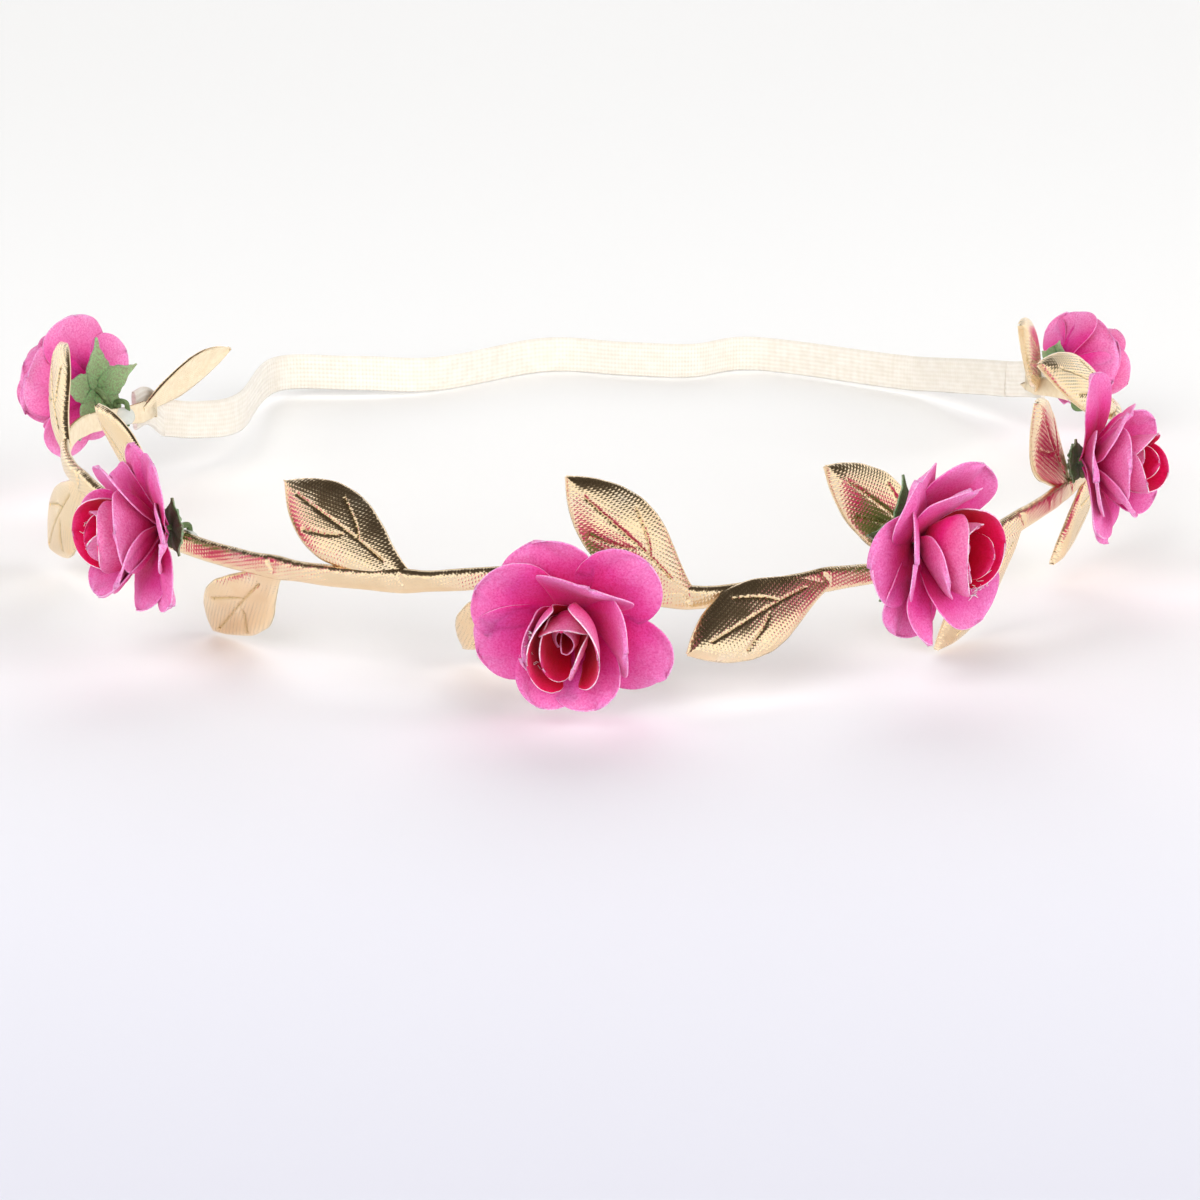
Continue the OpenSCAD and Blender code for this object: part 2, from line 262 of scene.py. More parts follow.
def smooth(x, low=0.0, high=1.0):
    """An eased step from 0 at low to 1 at high."""
    x = max(0.0, min(1.0, (x - low) / (high - low)))
    return x * x * (3 - 2 * x)


def sin_deg(a):
    return math.sin(math.radians(a))


def cos_deg(a):
    return math.cos(math.radians(a))


# ---------------------------------------------------------------- meshes
class Surface:
    """Grids of points in mm that become one mesh. Each point carries three values for the materials:
    its distance along and across the sheet in mm, and a shade from 0 to 1."""

    def __init__(self, name):
        self.name = name
        self.points = []
        self.lay = []
        self.faces = []

    def grid(self, rows, wrap=False, caps=False):
        """rows of (point, (along, across, shade)); wrap closes each row into a ring, caps closes the ends."""
        start = len(self.points)
        n = len(rows[0])
        for row in rows:
            for point, lay in row:
                self.points.append(place(point))
                self.lay.append(lay)
        for i in range(len(rows) - 1):
            for j in range(n if wrap else n - 1):
                a = start + i * n + j
                b = start + i * n + (j + 1) % n
                self.faces.append((a, b, b + n, a + n))
        if caps:
            for row in (rows[0][::-1], rows[-1]):
                start = len(self.points)
                for point, lay in row:
                    self.points.append(place(point))
                    self.lay.append(lay)
                self.faces.append(tuple(range(start, start + n)))

    def make(self, materials, thickness=0.0):
        """The mesh as an object. A thickness in mm makes a sheet solid, and then the second material is on
        its back and the third on its rim."""
        mesh = bpy.data.meshes.new(self.name)
        mesh.from_pydata(self.points, [], self.faces)
        for m in materials:
            mesh.materials.append(m)
        mesh.polygons.foreach_set("use_smooth", [True] * len(self.faces))
        lay = mesh.attributes.new("lay", "FLOAT_VECTOR", "POINT")
        lay.data.foreach_set("vector", [x for values in self.lay for x in values])
        obj = bpy.data.objects.new(self.name, mesh)
        bpy.context.scene.collection.objects.link(obj)
        if thickness:
            solid = obj.modifiers.new("paper", "SOLIDIFY")
            solid.thickness = thickness * MM
            solid.offset = 0.0
            solid.use_even_offset = False
            if len(materials) > 2:
                solid.material_offset = 1
                solid.material_offset_rim = 2
        return obj


def ring_around(path, radius, sides, squash=1.0, up=(0.3, 0.2, 1)):
    """Rings of points for a tube along a path in mm, flattened by squash along the direction up."""
    rows = []
    run = 0.0
    for i, p in enumerate(path):
        t = (path[min(i + 1, len(path) - 1)] - path[max(i - 1, 0)]).normalized()
        x = t.cross(Vector(up)).normalized()
        y = t.cross(x)
        if i:
            run += (p - path[i - 1]).length
        row = []
        for k in range(sides):
            a = 2 * math.pi * k / sides
            q = p + x * radius * math.cos(a) + y * radius * squash * math.sin(a)
            row.append((q, (run, radius * a, 1.0)))
        rows.append(row)
    return rows


# ---------------------------------------------------------------- materials
def put(tree, socket, value):
    """Links a socket to another one, or sets its value."""
    if isinstance(value, bpy.types.NodeSocket):
        tree.links.new(value, socket)
    else:
        socket.default_value = value


def node(tree, kind, settings=None, inputs=None):
    """A new shader node with its settings and inputs."""
    made = tree.nodes.new(kind)
    for key, value in (settings or {}).items():
        setattr(made, key, value)
    for key, value in (inputs or {}).items():
        put(tree, made.inputs[key], value)
    return made


def calc(tree, operation, a, b=0.0, c=0.0):
    """A math node."""
    return node(tree, "ShaderNodeMath", {"operation": operation}, {0: a, 1: b, 2: c}).outputs[0]


def ramp(tree, fac, stops):
    """A colour ramp with stops of (place, colour)."""
    made = node(tree, "ShaderNodeValToRGB", None, {"Fac": fac})
    elements = made.color_ramp.elements
    while len(elements) < len(stops):
        elements.new(0.5)
    for element, (where, colour) in zip(elements, stops):
        element.position = where
        element.color = (*colour, 1)
    return made.outputs["Color"]


def mix(tree, fac, a, b, how="MIX"):
    """A mix of two colours."""
    made = node(tree, "ShaderNodeMix", {"data_type": "RGBA", "blend_type": how})
    put(tree, made.inputs[0], fac)
    put(tree, made.inputs[6], a)
    put(tree, made.inputs[7], b)
    return made.outputs[2]


def speckle(tree, scale, detail=3.0, rough=0.6):
    """Noise in metres of the row frame."""
    where = node(tree, "ShaderNodeTexCoord").outputs["Object"]
    inputs = {"Vector": where, "Scale": scale, "Detail": detail, "Roughness": rough}
    return node(tree, "ShaderNodeTexNoise", None, inputs).outputs["Fac"]


def lay_of(tree):
    """Distance along, distance across and shade, as stored on the mesh."""
    lay = node(tree, "ShaderNodeAttribute", {"attribute_name": "lay"}).outputs["Vector"]
    made = node(tree, "ShaderNodeSeparateXYZ", None, {0: lay})
    return made.outputs[0], made.outputs[1], made.outputs[2]


def bump(tree, height, distance_mm):
    """A normal that shows a height as relief."""
    inputs = {"Height": height, "Distance": distance_mm * MM, "Strength": 1.0}
    return node(tree, "ShaderNodeBump", None, inputs).outputs["Normal"]


def waves(tree, distance, pitch):
    """A sine over a distance in mm, repeated at each pitch."""
    return calc(tree, "SINE", calc(tree, "MULTIPLY", distance, 2 * math.pi / pitch))


def material(name, **sockets):
    """A new material with these values on its shader, where _ in a name stands for a space."""
    made = bpy.data.materials.new(name)
    made.use_nodes = True
    shader = made.node_tree.nodes["Principled BSDF"]
    for key, value in sockets.items():
        put(made.node_tree, shader.inputs[key.replace("_", " ")], value)
    return made, made.node_tree, shader


def gold_foil():
    """Metallic foil laminated to a ribbed cloth: fine ribs across the leaf, rubbed dull in patches."""
    made, tree, shader = material("gold_foil", Metallic=1.0)
    far, across, groove = lay_of(tree)
    ribs = waves(tree, far, 0.44)
    drift = calc(tree, "MULTIPLY", far, 3.6)
    dots = calc(tree, "SINE", calc(tree, "MULTIPLY_ADD", across, 2 * math.pi / 0.5, drift))
    weave = calc(tree, "MULTIPLY", calc(tree, "ADD", ribs, 0.6), calc(tree, "ADD", dots, 0.9))
    patches = speckle(tree, 240, 2.0)
    grain = speckle(tree, 2600, 2.0)
    relief = calc(tree, "MULTIPLY", weave, calc(tree, "MULTIPLY_ADD", patches, 1.5, -0.3))
    relief = calc(tree, "MULTIPLY_ADD", grain, 1.0, relief)
    put(tree, shader.inputs["Normal"], bump(tree, relief, 0.03))
    golds = [(0.3, (0.9, 0.68, 0.42)), (0.6, (0.97, 0.77, 0.51)), (0.8, (1.0, 0.85, 0.63))]
    foil = ramp(tree, patches, golds)
    # Painted shade: the gold is darkened towards brown along the pressed vein grooves
    foil = mix(tree, calc(tree, "MULTIPLY", groove, 0.6), foil, (0.6, 0.4, 0.13, 1))
    put(tree, shader.inputs["Base Color"], foil)
    put(tree, shader.inputs["Roughness"], calc(tree, "MULTIPLY_ADD", patches, 0.25, 0.1))
    return made


def cloth_backing():
    """Plain woven cloth, seen on the back of the vine."""
    made, tree, shader = material("cloth_backing", Roughness=0.9, Sheen_Weight=0.2)
    far, across, _ = lay_of(tree)
    warp = waves(tree, far, 0.4)
    weft = waves(tree, across, 0.4)
    weave = calc(tree, "MULTIPLY", warp, weft)
    put(tree, shader.inputs["Normal"], bump(tree, weave, 0.03))
    threads = ramp(tree, speckle(tree, 900), [(0.3, (0.86, 0.7, 0.47)), (0.7, (0.95, 0.82, 0.6))])
    put(tree, shader.inputs["Base Color"], threads)
    return made


def paper(name, stops):
    """Handmade paper, coloured from the petal's root (0) to its rim (1) and mottled by its fibres."""
    made, tree, shader = material(name, Roughness=0.85, Sheen_Weight=0.1, Sheen_Roughness=0.5)
    put(tree, shader.inputs["Specular IOR Level"], 0.12)
    put(tree, shader.inputs["Subsurface Weight"], 0.3)
    put(tree, shader.inputs["Subsurface Radius"], (1.0, 0.35, 0.6))
    put(tree, shader.inputs["Subsurface Scale"], 0.6 * MM)
    _, _, shade = lay_of(tree)
    blotch = speckle(tree, 260, 3.0)
    grain = speckle(tree, 3600, 3.0, 0.7)
    fac = calc(tree, "ADD", shade, calc(tree, "MULTIPLY_ADD", blotch, 0.24, -0.12))
    colour = ramp(tree, fac, stops)
    flecks = ramp(tree, grain, [(0.36, (0.86, 0.62, 0.76)), (0.5, (1, 1, 1)), (0.64, (1, 1.5, 1.25))])
    put(tree, shader.inputs["Base Color"], mix(tree, 0.8, colour, flecks, "MULTIPLY"))
    relief = calc(tree, "MULTIPLY_ADD", blotch, 0.8, grain)
    put(tree, shader.inputs["Normal"], bump(tree, relief, 0.06))
    return made


def wrapped_wire():
    """Green paper tape wound round a wire."""
    made, tree, shader = material("wire_paper", Roughness=0.75)
    far, around, _ = lay_of(tree)
    turn = calc(tree, "ADD", calc(tree, "MULTIPLY", far, 5.0), calc(tree, "MULTIPLY", around, 2.0))
    put(tree, shader.inputs["Normal"], bump(tree, calc(tree, "SINE", turn), 0.08))
    tape = ramp(tree, speckle(tree, 700), [(0.3, (0.08, 0.15, 0.05)), (0.7, (0.2, 0.28, 0.12))])
    put(tree, shader.inputs["Base Color"], tape)
    return made


def elastic_webbing():
    """Knitted elastic with rubber cords running along it."""
    made, tree, shader = material("elastic_webbing", Roughness=0.8, Sheen_Weight=0.4)
    far, across, _ = lay_of(tree)
    cords = waves(tree, across, 0.75)
    knit = waves(tree, far, 0.5)
    weave = calc(tree, "MULTIPLY_ADD", knit, 0.5, cords)
    put(tree, shader.inputs["Normal"], bump(tree, weave, 0.04))
    tone = calc(tree, "MULTIPLY_ADD", weave, 0.12, speckle(tree, 500))
    yarn = ramp(tree, tone, [(0.3, (0.84, 0.78, 0.68)), (0.7, (0.92, 0.87, 0.79))])
    put(tree, shader.inputs["Base Color"], yarn)
    return made


def hot_glue():
    """Set hot glue, cloudy and half clear."""
    made, tree, shader = material("clear_glue", Roughness=0.2, Transmission_Weight=0.35, IOR=1.45)
    cloud = speckle(tree, 600)
    milk = ramp(tree, cloud, [(0.3, (0.88, 0.92, 0.86)), (0.7, (0.97, 0.98, 0.95))])
    put(tree, shader.inputs["Base Color"], milk)
    put(tree, shader.inputs["Normal"], bump(tree, cloud, 0.15))
    return made


GOLD = gold_foil()
CLOTH = cloth_backing()
# The first paint of each list is on the outside of a petal, the second on its inside and the third on its rim
RIM = paper("petal_rim", [(0.0, (0.7, 0.08, 0.32)), (1.0, (0.9, 0.4, 0.68))])
BUD_RIM = paper("bud_rim", [(0.0, (0.75, 0.16, 0.36)), (1.0, (0.95, 0.66, 0.8))])
PETAL = [
    paper("petal_outside", [
        (0.0, (0.66, 0.005, 0.17)), (0.35, (0.76, 0.04, 0.28)), (1.0, (0.87, 0.31, 0.59)),
    ]),
    paper("petal_inside", [
        (0.0, (0.66, 0.002, 0.11)), (0.32, (0.72, 0.01, 0.19)),
        (0.6, (0.72, 0.06, 0.31)), (1.0, (0.81, 0.25, 0.54)),
    ]),
    RIM,
]
BUD = [
    paper("bud_outside", [(0.0, (0.6, 0.0, 0.08)), (0.5, (0.76, 0.02, 0.22)), (1.0, (0.88, 0.3, 0.55))]),
    paper("bud_inside", [
        (0.0, (0.42, 0.0, 0.015)), (0.6, (0.62, 0.0, 0.035)),
        (0.85, (0.74, 0.004, 0.09)), (1.0, (0.82, 0.06, 0.25)),
    ]),
    BUD_RIM,
]
LEAF_GREEN = [
    paper("calyx_outside", [(0.0, (0.16, 0.24, 0.1)), (1.0, (0.36, 0.45, 0.25))]),
    paper("calyx_inside", [(0.0, (0.05, 0.11, 0.04)), (1.0, (0.1, 0.2, 0.07))]),
    paper("calyx_rim", [(0.0, (0.15, 0.25, 0.12)), (1.0, (0.3, 0.42, 0.25))]),
]
FIBRE = paper("loose_fibre", [(0.0, (0.9, 0.7, 0.8)), (1.0, (0.95, 0.9, 0.93))])
WIRE = wrapped_wire()
GLUE = hot_glue()
ELASTIC = elastic_webbing()


# ---------------------------------------------------------------- vine
def crown_shape(a, power=2.4):
    """Height of a padded strip across its width, from 1 in the middle to 0 at the edges (a is -1 to 1)."""
    return math.sqrt(max(0.0, 1 - abs(a) ** power))


def stem_rows(start, end, face):
    """Rings of the gold face (or of the cloth backing) of the stem."""
    count = round((end - start) * 60)
    columns = 18
    rows = []
    for k in range(count + 1):
        u = start + (end - start) * k / count
        p = along(STEM, u)
        w = upward(STEM, u)
        n = inward(STEM, u)
        knot = math.exp(-((u - round(u)) / 0.12) ** 2)
        swell = 1 + 0.1 * noise.noise(Vector((u * 3.1, 0, 0))) + 0.12 * knot
        row = []
        for j in range(columns + 1):
            a = -1 + 2 * j / columns
            if face:
                pucker = 0.1 * noise.noise(Vector((u * 14, a * 0.8, 4.0)))
                crease = 0.28 * math.exp(-(((u % 1) - 0.5 * a * 0.1) / 0.018) ** 2)
                depth = -(FACE_T * crown_shape(a, 4) * (1 + pucker) - crease * crown_shape(a) + 0.08)
            else:
                depth = BACKING_T * min(1.0, 6 * (1 - abs(a)) + 0.4)
            half = STEM_H / 2 * swell * (1.0 if face else 0.97)
            row.append((p + w * a * half + n * depth, (u * LEAF_PITCH, a * half, 0.0)))
        for a in (0.97, 0, -0.97):
            row.append((p + w * a * STEM_H / 2 * swell * 0.97, (u * LEAF_PITCH, a, 0.0)))
        rows.append(row)
    return rows


def leaf_axes(leaf):
    """A leaf's directions along it, across it and out of its back."""
    station, rise, lean, twist, _, _ = leaf
    t = heading(STEM, station)
    n = inward(STEM, station)
    w = upward(STEM, station)
    lean_w = cos_deg(lean) * w + sin_deg(lean) * n
    d = cos_deg(rise) * t + sin_deg(rise) * lean_w
    s = cos_deg(rise) * lean_w - sin_deg(rise) * t
    across = cos_deg(twist) * s + sin_deg(twist) * d.cross(s)
    return d, across, d.cross(across)


def leaf_outline(s):
    """Half width as a share of the widest: a stalk that flares into a blade with a pointed tip."""
    widest = 0.54
    if s < widest:
        return 0.27 + 0.73 * smooth(s, -0.04, widest)
    x = (s - widest) / (1 - widest)
    return max(0.03, (1 - x**2.1) ** 0.95)


def vein_distance(s, a):
    """Distance in mm from the nearest pressed vein: the midrib and one side vein on each side."""
    y = a * LEAF_W / 2
    best = 9.0
    if 0.16 < s < 0.86:
        best = abs(y - 0.25 * math.sin(s * 5))
    for side in (-1, 1):
        begin = 0.36 if side > 0 else 0.45
        t = (s - begin) / 0.24
        if 0 <= t <= 1:
            best = min(best, abs(y - side * LEAF_W / 2 * (0.06 + 0.62 * t**0.7)) * 0.75)
    return best


def leaf_rows(leaf, face):
    """Rings of a leaf's gold face (or of its cloth backing)."""
    d, across, n = leaf_axes(leaf)
    root = along(STEM, leaf[0])
    width = LEAF_W * leaf[4]
    bow = leaf[5]
    rows = []
    long_count = 110 if face else 40
    wide_count = 48 if face else 12
    for i in range(long_count + 1):
        s = i / long_count
        half = width / 2 * leaf_outline(s)
        spine = root + d * LEAF_LEN * s - n * bow * math.sin(math.pi * s) + n * 0.25 * bow * s
        plump = FACE_T * min(1.0, half / 2.2) ** 0.6
        row = []
        for j in range(wide_count + 1):
            a = -1 + 2 * j / wide_count
            wave = 0.22 * noise.noise(Vector((s * 3.2 + leaf[0] * 7, a * 1.3, 1.7)))
            edge = across * a * half * (1 + 0.03 * noise.noise(Vector((s * 9, leaf[0], a))))
            cup = -0.45 * a * a * smooth(s, 0.1, 0.5)
            if face:
                away = vein_distance(s, a * half / (width / 2))
                groove = math.exp(-((away / 0.17) ** 2))
                tufts = 0.5 + 0.5 * math.sin(s * LEAF_LEN * 2 * math.pi / 0.8)
                height = plump * crown_shape(a, 2.4) * (1 + wave) + 0.07 - groove * (0.16 + 0.14 * tufts)
                depth = -max(0.05, height)
            else:
                groove = 0.0
                depth = 0.9 * BACKING_T * min(1.0, 5 * (1 - abs(a)) + 0.35) * min(1, 8 * (1 - s) + 0.3)
            # The groove value is also stored for the gold foil, which paints shade into the veins with it
            row.append((spine + edge + n * (depth - cup), (s * LEAF_LEN, a * half, groove)))
        for a in (0.98, 0.5, 0, -0.5, -0.98):
            cup = -0.45 * a * a * smooth(s, 0.1, 0.5)
            row.append((spine + across * a * half - n * cup, (s * LEAF_LEN, a * half, 0.0)))
        rows.append(row)
    return rows


def body_at(station):
    """The moving body at a station, and the start of its CAD node names."""
    if station > LEFT_FLEX:
        return "left_side", "vine_left"
    if station < RIGHT_FLEX:
        return "right_side", "vine_right"
    return "vine_front", "vine_front"


def build_vine():
    """The stem as two ribbons and fifteen leaves, each with a gold face and a cloth backing."""
    flex = {
        "left": (HALVES_MEET, LAST_STEM, "left_side", LEFT_FLEX - LEFT_BEND, LEFT_FLEX + LEFT_BEND),
        "right": (0, HALVES_MEET, "right_side", RIGHT_FLEX + RIGHT_BEND, RIGHT_FLEX - RIGHT_BEND),
    }
    for side, (start, end, body, before, after) in flex.items():
        for layer, made_of, slot in (("face", GOLD, "gold_foil"), ("backing", CLOTH, "cloth_backing")):
            strip = Surface(f"stem_{side}_{layer}")
            strip.grid(stem_rows(start, end, layer == "face"), wrap=True, caps=True)
            obj = strip.make([made_of])
            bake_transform(obj)
            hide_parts(f"vine_{side}_{layer}", f"vine_front_{layer}")
    for number, leaf in enumerate(LEAVES, 1):
        body, vine = body_at(leaf[0])
        for layer, made_of, slot in (("face", GOLD, "gold_foil"), ("backing", CLOTH, "cloth_backing")):
            blade = Surface(f"leaf_{number:02d}_{layer}")
            blade.grid(leaf_rows(leaf, layer == "face"), wrap=True, caps=True)
            obj = blade.make([made_of])
            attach(obj, body)
            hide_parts(f"{vine}_{layer}")


# ---------------------------------------------------------------- roses
class RoseFrame:
    """Where a rose sits and faces, and how far its cup is pressed flat."""

    def __init__(self, name):
        back, facing, self.station, self.edge = ROSES[name]
        self.origin = Vector(back)
        self.z = Vector(facing).normalized()
        self.x = UP.cross(self.z).normalized()
        self.y = self.z.cross(self.x)
        self.pressed = PRESSED.get(name, (1, 1))
        self.sepal = SEPALS[name]

    def point(self, p, cup=False):
        """A point given across, up and out of the rose, as a route point."""
        across, up = self.pressed if cup else (1, 1)
        return self.origin + self.x * p[0] * across + self.y * p[1] * up + self.z * p[2]


def petal_outline(b):
    """Half width of a petal as a share of its widest, from its root (0) to its rim (1)."""
    root = 0.3
    widest = 0.6
    if b < widest:
        return root + (1 - root) * smooth(b, -0.1, widest)
    x = (b - widest) / (1 - widest)
    return math.sqrt(max(0.0, 1 - x**2.3))


def petal_rows(rose, petal, base_h, seed, cup, ruffle, rim_curl):
    """A grid of points over one petal. It leaves the bud's axis at base_h and opens as it goes outwards."""
    azimuth, length, width, open_root, open_rim, wrap, fold = petal
    radial = Vector((cos_deg(azimuth), sin_deg(azimuth), 0))
    tangent = Vector((-sin_deg(azimuth), cos_deg(azimuth), 0))
    centre = radial * PETAL_ROOT_R + UP * base_h
    long_count = 26
    wide_count = 22
    rows = []
    before = 0.0
    for i in range(long_count + 1):
        b = math.sin(math.pi / 2 * i / long_count)
        opening = open_root + (open_rim - open_root) * smooth(b) + rim_curl * smooth(b, 0.75, 1.0)
        opening = math.radians(opening)
        direction = radial * math.sin(opening) + UP * math.cos(opening)
        normal = UP * math.sin(opening) - radial * math.cos(opening)
        centre = centre + direction * length * (b - before)
        before = b
        half = width / 2 * petal_outline(b)
        row = []
        for j in range(wide_count + 1):
            a = -1 + 2 * j / wide_count
            side = a * half
            if abs(wrap) > 1:
                bend_r = width / 2 / math.radians(wrap)
                turn = side / bend_r
                p = centre + tangent * bend_r * math.sin(turn) + normal * bend_r * (1 - math.cos(turn))
            else:
                p = centre + tangent * side
            p = p + normal * abs(side) * math.tan(math.radians(fold)) * smooth(b, 0.1, 0.8)
            swirl = noise.noise(Vector((seed * 3.7, a * 1.5, b * 2.0)))
            crinkle = noise.noise(Vector((seed * 9.1, a * 4.5, b * 6.0)))
            p = p + normal * (ruffle * 2.2 * swirl * b + 0.1 * crinkle)
            ragged = 0.07 * noise.noise(Vector((seed * 5.3, a * 16, b * 16)))
            p = p + direction * ragged * smooth(b, 0.7, 1.0) + tangent * ragged * abs(a)
            shade = b * (0.9 + 0.1 * abs(a))
            row.append((rose.point(p, cup), (b * length, side, shade)))
        rows.append(row)
    return rows


def bud_rows(rose, seed):
    """A spiral of rolled paper, highest in the middle."""
    count = 150
    levels = 16
    rows = []
    for i in range(levels + 1):
        h = i / levels
        row = []
        for k in range(count + 1):
            t = k / count
            angle = 2 * math.pi * BUD_TURNS * t + seed
            top = BUD_TIP - 2.2 * t**1.5 + 0.7 * math.sin(angle * 1.5 + seed) * t
            r = (0.8 + (BUD_R - 0.8) * t) * (0.62 + 0.52 * math.sin(math.pi * min(1.0, h * 0.82 + 0.1)))
            r = r + 0.16 * noise.noise(Vector((seed, t * 9, h * 3)))
            p = Vector((r * math.cos(angle), r * math.sin(angle), BUD_BASE + (top - BUD_BASE) * h))
            row.append((rose.point(p, True), (h * 10, t * 30, 0.1 + 0.8 * h)))
        rows.append(row)
    return rows


def fibre_path(rose, name, number):
    """A loose curl of paper fibre on the rim of the cup."""
    azimuth, reach, height = FIBRES[name]
    azimuth += (number - 4) * 7
    root = Vector((reach * cos_deg(azimuth), reach * sin_deg(azimuth), height - 0.3 * (number % 3)))
    path = []
    for i in range(10):
        at = Vector((number * 2.3, i * 0.35, 7.0))
        wander = Vector((noise.noise(at), noise.noise(at + UP * 5), noise.noise(at + UP * 9)))
        path.append(rose.point(root + wander * (2.4 * i / 9), True))
    return path


def calyx_rows(rose, azimuth, seed):
    """One serrated sepal that curls back behind the petals."""
    radial = Vector((cos_deg(azimuth), sin_deg(azimuth), 0))
    tangent = Vector((-sin_deg(azimuth), cos_deg(azimuth), 0))
    reach = rose.sepal
    count = 26
    rows = []
    for i in range(count + 1):
        b = i / count
        teeth = 1 + 0.16 * abs(math.sin(b * 13 + seed)) * smooth(b, 0.15, 0.4)
        half = 2.3 * (0.55 + 0.45 * math.sin(math.pi * min(1.0, b * 1.25))) * (1 - b**2.2) * teeth + 0.05
        lift = 0.2 - 0.012 * (b * reach) ** 2 * (1 + 0.7 * noise.noise(Vector((seed, 0, 0))))
        row = []
        for j in range(9):
            a = -1 + 2 * j / 8
            fold = 0.35 * abs(a) * half * 0.6
            wave = 0.3 * noise.noise(Vector((seed * 2, b * 3, a)))
            p = radial * (0.35 + reach * b) + tangent * a * half + UP * (lift - fold + wave * b)
            row.append((rose.point(p), (b * reach, a * half, b)))
        rows.append(row)
    return rows


def wire_path(rose):
    """The wire from the rose, over one edge of the stem and down behind it."""
    u = rose.station
    stem = along(STEM, u)
    edge = upward(STEM, u) * rose.edge
    back = inward(STEM, u)
    clear = 0.25
    over = STEM_H / 2 + WIRE_R + clear
    front = FACE_T + WIRE_R + clear
    behind = BACKING_T + WIRE_R + clear
    return [
        rose.origin + rose.z * 3.2, rose.origin - rose.z * 0.3,
        stem + edge * over * 0.5 - back * front,
        stem + edge * over - back * front * 0.5,
        stem + edge * over + back * behind * 0.6,
        stem + edge * over * 0.55 + back * behind,
        stem - edge * over * 0.6 + back * behind,
    ]


def glue_rows(rose, seed):
    """A blob of hot glue round the hooked wire, pressed on the back of the vine."""
    u = rose.station
    centre = along(STEM, u) + inward(STEM, u) * BACKING_T
    t = heading(STEM, u)
    n = inward(STEM, u)
    w = upward(STEM, u)
    rows = []
    rings = 14
    sides = 28
    for i in range(rings + 1):
        h = i / rings * math.pi / 2
        row = []
        for k in range(sides):
            angle = 2 * math.pi * k / sides
            spread = 1 + 0.22 * noise.noise(Vector((math.cos(angle) * 1.4, math.sin(angle) * 1.4, seed)))
            r = 1.85 * spread * math.cos(h)
            p = centre + t * r * math.cos(angle) * 1.25
            p = p + w * r * math.sin(angle) * 0.8 + n * (1.75 * math.sin(h) - 0.1)
            row.append((p, (0, 0, 0)))
        rows.append(row)
    return rows


def build_rose(name, seed):
    """A rose of three petal layers, a bud, a calyx, a wire and its glue."""
    rose = RoseFrame(name)
    body = body_at(rose.station)[0]

    def finish(obj, layer, slot):
        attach(obj, body)
        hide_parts(f"{name}_{layer}")

    layers = [
        ("outer_petals", OUTER[name], 1.0, 0.45, 4.0, PETAL),
        ("middle_petals", MIDDLE.get(name, MIDDLE_DEFAULT), 1.9, 0.35, 2.0, PETAL),
        ("inner_petals", INNER.get(name, ROUND), 2.8, 0.16, 6.0, BUD),
    ]
    for order, (layer, petals, base_h, ruffle, rim_curl, paints) in enumerate(layers):
        sheet = Surface(f"{name}_{layer}_paper")
        for k, petal in enumerate(petals):
            petal_seed = seed + 10 * order + k
            rows = petal_rows(rose, petal, base_h + 0.1 * k, petal_seed, paints is BUD, ruffle, rim_curl)
            sheet.grid(rows)
        finish(sheet.make(paints, thickness=PAPER_T), layer, "bud_paper" if paints is BUD else "petal_paper")
    bud = Surface(f"{name}_bud_paper")
    bud.grid(bud_rows(rose, seed))
    finish(bud.make([*BUD[:2], RIM], thickness=PAPER_T), "bud", "bud_paper")
    if name in FIBRES:
        fibres = Surface(f"{name}_fibres")
        for k in range(FIBRE_COUNT):
            fibres.grid(ring_around(fibre_path(rose, name, k), FIBRE_R, 5), wrap=True, caps=True)
        finish(fibres.make([FIBRE]), "inner_petals", "bud_paper")
    calyx = Surface(f"{name}_calyx_paper")
    for k in range(5):
        calyx.grid(calyx_rows(rose, k * 72 + 18, seed + k))
    finish(calyx.make(LEAF_GREEN, thickness=SEPAL_T), "calyx", "calyx_paper")
    wire = Surface(f"{name}_wire_wrap")
    corners = wire_path(rose)
    steps = (len(corners) - 1) * 8
    path = [along(corners, (len(corners) - 1) * k / steps) for k in range(steps + 1)]
    wire.grid(ring_around(path, WIRE_R * 0.8, 12), wrap=True, caps=True)
    finish(wire.make([WIRE]), "wire", "green_wire")
    glue = Surface(f"{name}_glue_blob")
    glue.grid(glue_rows(rose, seed), wrap=True)
    finish(glue.make([GLUE]), "glue", "clear_glue")


# ---------------------------------------------------------------- elastic
def strap_rows(route, start, end, steps, flutter=0.0):
    """Rings of a webbing strap that stands on edge along part of a route, and ripples a little."""
    count = round((end - start) * steps)
    rows = []
    for i in range(count + 1):
        u = start + (end - start) * i / count
        n = inward(route, u)
        row = []
        for side in (-1, 1):
            for j in range(13):
                a = (-1 + 2 * j / 12) * side
                lean = flutter * a * noise.noise(Vector((u * 0.9, 3.1, 0)))
                depth = side * BAND_T / 2 * (1 - 0.45 * abs(a) ** 8)
                p = along(route, u) - n * (depth - lean) + UP * a * BAND_H / 2
                row.append((p, (u * WEAVE_STEP, a * BAND_H / 2, 0.5)))
        rows.append(row)
    return rows


def tab_path(stem_end, leaf_end, band_end):
    """The glued end of the elastic: in front of the stem's last stretch, then out to the band."""
    out = -inward(STEM, stem_end) * (FACE_T + BAND_T / 2 + GLUE_T)
    start = along(STEM, leaf_end) + out
    finish = along(STEM, stem_end) + out
    band_end = Vector(band_end)
    return [start, finish, band_end - (band_end - finish).normalized() * TAB_GAP]


